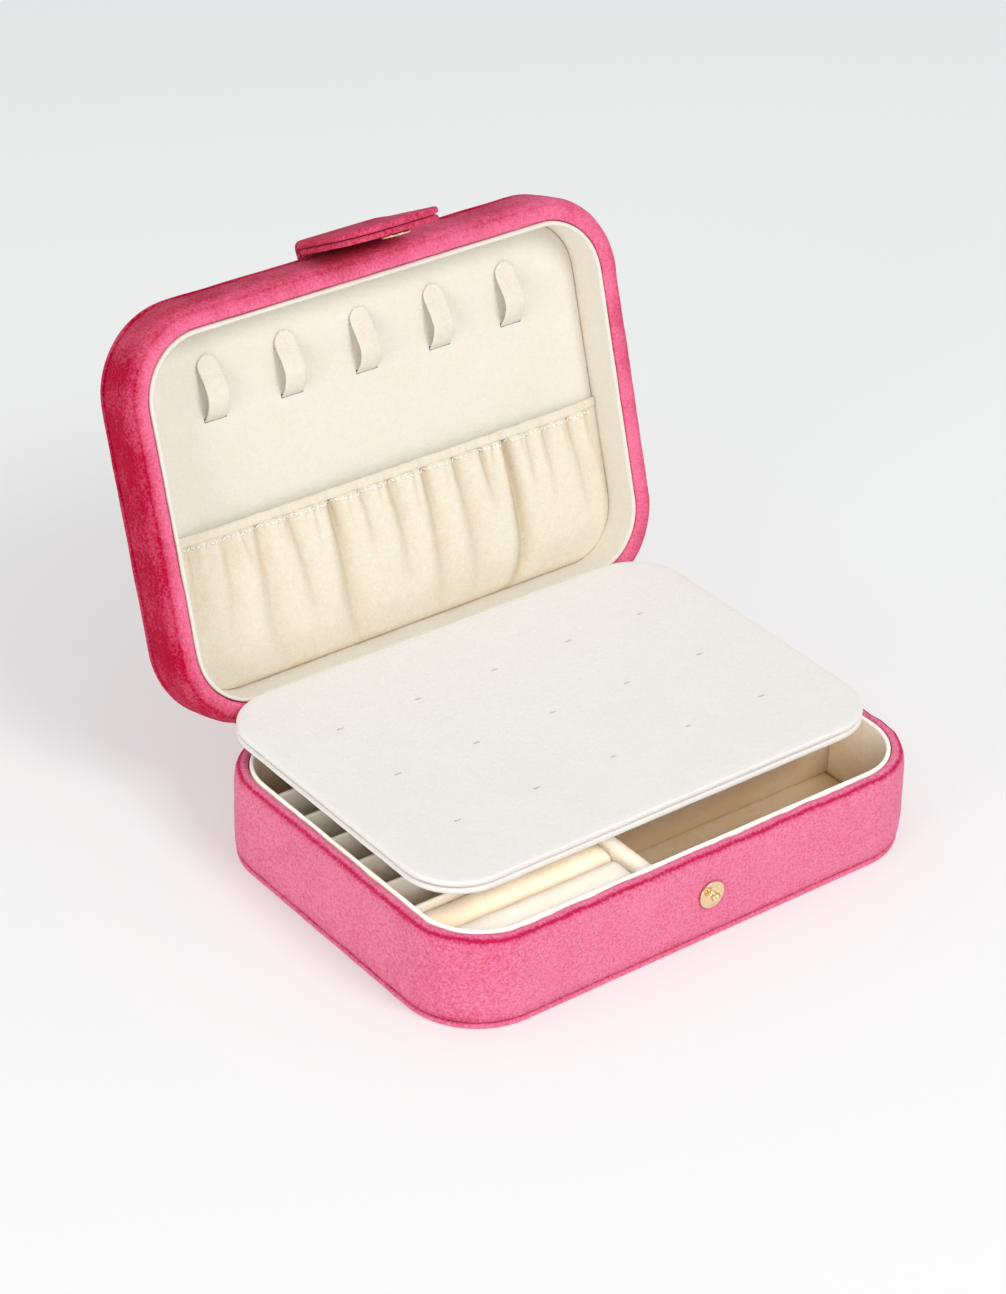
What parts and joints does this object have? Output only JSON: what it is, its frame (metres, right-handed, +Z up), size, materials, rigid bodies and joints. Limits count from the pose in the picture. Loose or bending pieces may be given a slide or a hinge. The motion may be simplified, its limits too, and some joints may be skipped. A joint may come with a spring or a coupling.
{
  "type": "travel jewelry box",
  "caption": "Small velvet travel jewelry box, open: slatted base with ring rolls, lift-up earring board, lid with necklace tabs and elastic pocket, snap flap.",
  "frame": {"origin": "centre of the base's underside", "axes": "+Z up, +X along the box's width to the right seen from its front, -Y to the front where the snap is"},
  "size_m": [0.1944, 0.2063, 0.1838],
  "materials": {
    "pink_velvet": "short pink velvet over card and foam",
    "cream_velvet": "short cream velvet over card and foam",
    "gold_snap": "polished, gold coloured plating"
  },
  "bodies": {
    "base": {"base_bottom_board": "pink_velvet", "base_wall": "pink_velvet", "base_collar": "cream_velvet", "base_floor_pad": "cream_velvet", "centre_divider": "cream_velvet", "tray_divider": "cream_velvet", "ring_bay_wall": "cream_velvet", "bay_divider_1": "cream_velvet", "bay_divider_2": "cream_velvet", "bay_divider_3": "cream_velvet", "bay_divider_4": "cream_velvet", "bay_divider_5": "cream_velvet", "ring_roll_front": "cream_velvet", "ring_roll_rear": "cream_velvet", "snap_stud": "gold_snap", "stud_washer": "gold_snap", "outer_hinge_tape": "pink_velvet"},
    "lid": {"lid_wall": "pink_velvet", "lid_top_panel": "pink_velvet", "lid_collar": "cream_velvet", "lid_lining_board": "cream_velvet", "pocket": "cream_velvet", "pocket_elastic_band": "cream_velvet", "flap_tape": "pink_velvet"},
    "board_tape": {"board_hinge_tape": "cream_velvet"},
    "board": {"earring_board_base": "cream_velvet", "earring_board_top": "cream_velvet"},
    "flap": {"flap_outer": "pink_velvet", "flap_inner": "pink_velvet", "snap_socket": "gold_snap"},
    "necklace_hook_1": {"necklace_hook_1": "cream_velvet"},
    "necklace_hook_2": {"necklace_hook_2": "cream_velvet"},
    "necklace_hook_3": {"necklace_hook_3": "cream_velvet"},
    "necklace_hook_4": {"necklace_hook_4": "cream_velvet"},
    "necklace_hook_5": {"necklace_hook_5": "cream_velvet"}
  },
  "joints": [
    {"name": "lid_hinge", "type": "hinge", "parent": "base", "child": "lid", "pos_m": [0, 0.07, 0.0322], "axis": [-1, 0, 0], "range_deg": [-107, 0], "deforming": ["outer_hinge_tape"]},
    {"name": "board_tape_hinge", "type": "hinge", "parent": "lid", "child": "board_tape", "pos_m": [0, 0.07196, 0.04147], "axis": [-1, 0, 0], "range_deg": [0, 107], "deforming": ["board_hinge_tape"]},
    {"name": "board_flip", "type": "hinge", "parent": "board_tape", "child": "board", "pos_m": [0, 0.07295, 0.04341], "axis": [-1, 0, 0], "range_deg": [0, 105]},
    {"name": "flap_hinge", "type": "hinge", "parent": "lid", "child": "flap", "pos_m": [0, 0.13006, 0.16023], "axis": [-1, 0, 0], "range_deg": [-8, 100], "deforming": ["flap_tape"]},
    {"name": "hook_1_lift", "type": "hinge", "parent": "lid", "child": "necklace_hook_1", "pos_m": [-0.0592, 0.11395, 0.1226], "axis": [1, 0, 0], "range_deg": [0, 25], "stiffness_Nm_per_rad": 0.01},
    {"name": "hook_2_lift", "type": "hinge", "parent": "lid", "child": "necklace_hook_2", "pos_m": [-0.0296, 0.11395, 0.1226], "axis": [1, 0, 0], "range_deg": [0, 25], "stiffness_Nm_per_rad": 0.01},
    {"name": "hook_3_lift", "type": "hinge", "parent": "lid", "child": "necklace_hook_3", "pos_m": [0, 0.11395, 0.1226], "axis": [1, 0, 0], "range_deg": [0, 25], "stiffness_Nm_per_rad": 0.01},
    {"name": "hook_4_lift", "type": "hinge", "parent": "lid", "child": "necklace_hook_4", "pos_m": [0.0296, 0.11395, 0.1226], "axis": [1, 0, 0], "range_deg": [0, 25], "stiffness_Nm_per_rad": 0.01},
    {"name": "hook_5_lift", "type": "hinge", "parent": "lid", "child": "necklace_hook_5", "pos_m": [0.0592, 0.11395, 0.1226], "axis": [1, 0, 0], "range_deg": [0, 25], "stiffness_Nm_per_rad": 0.01}
  ],
  "couplings": [
    {"joint": "board_tape_hinge", "follows": "lid_hinge", "ratio": -1}
  ]
}
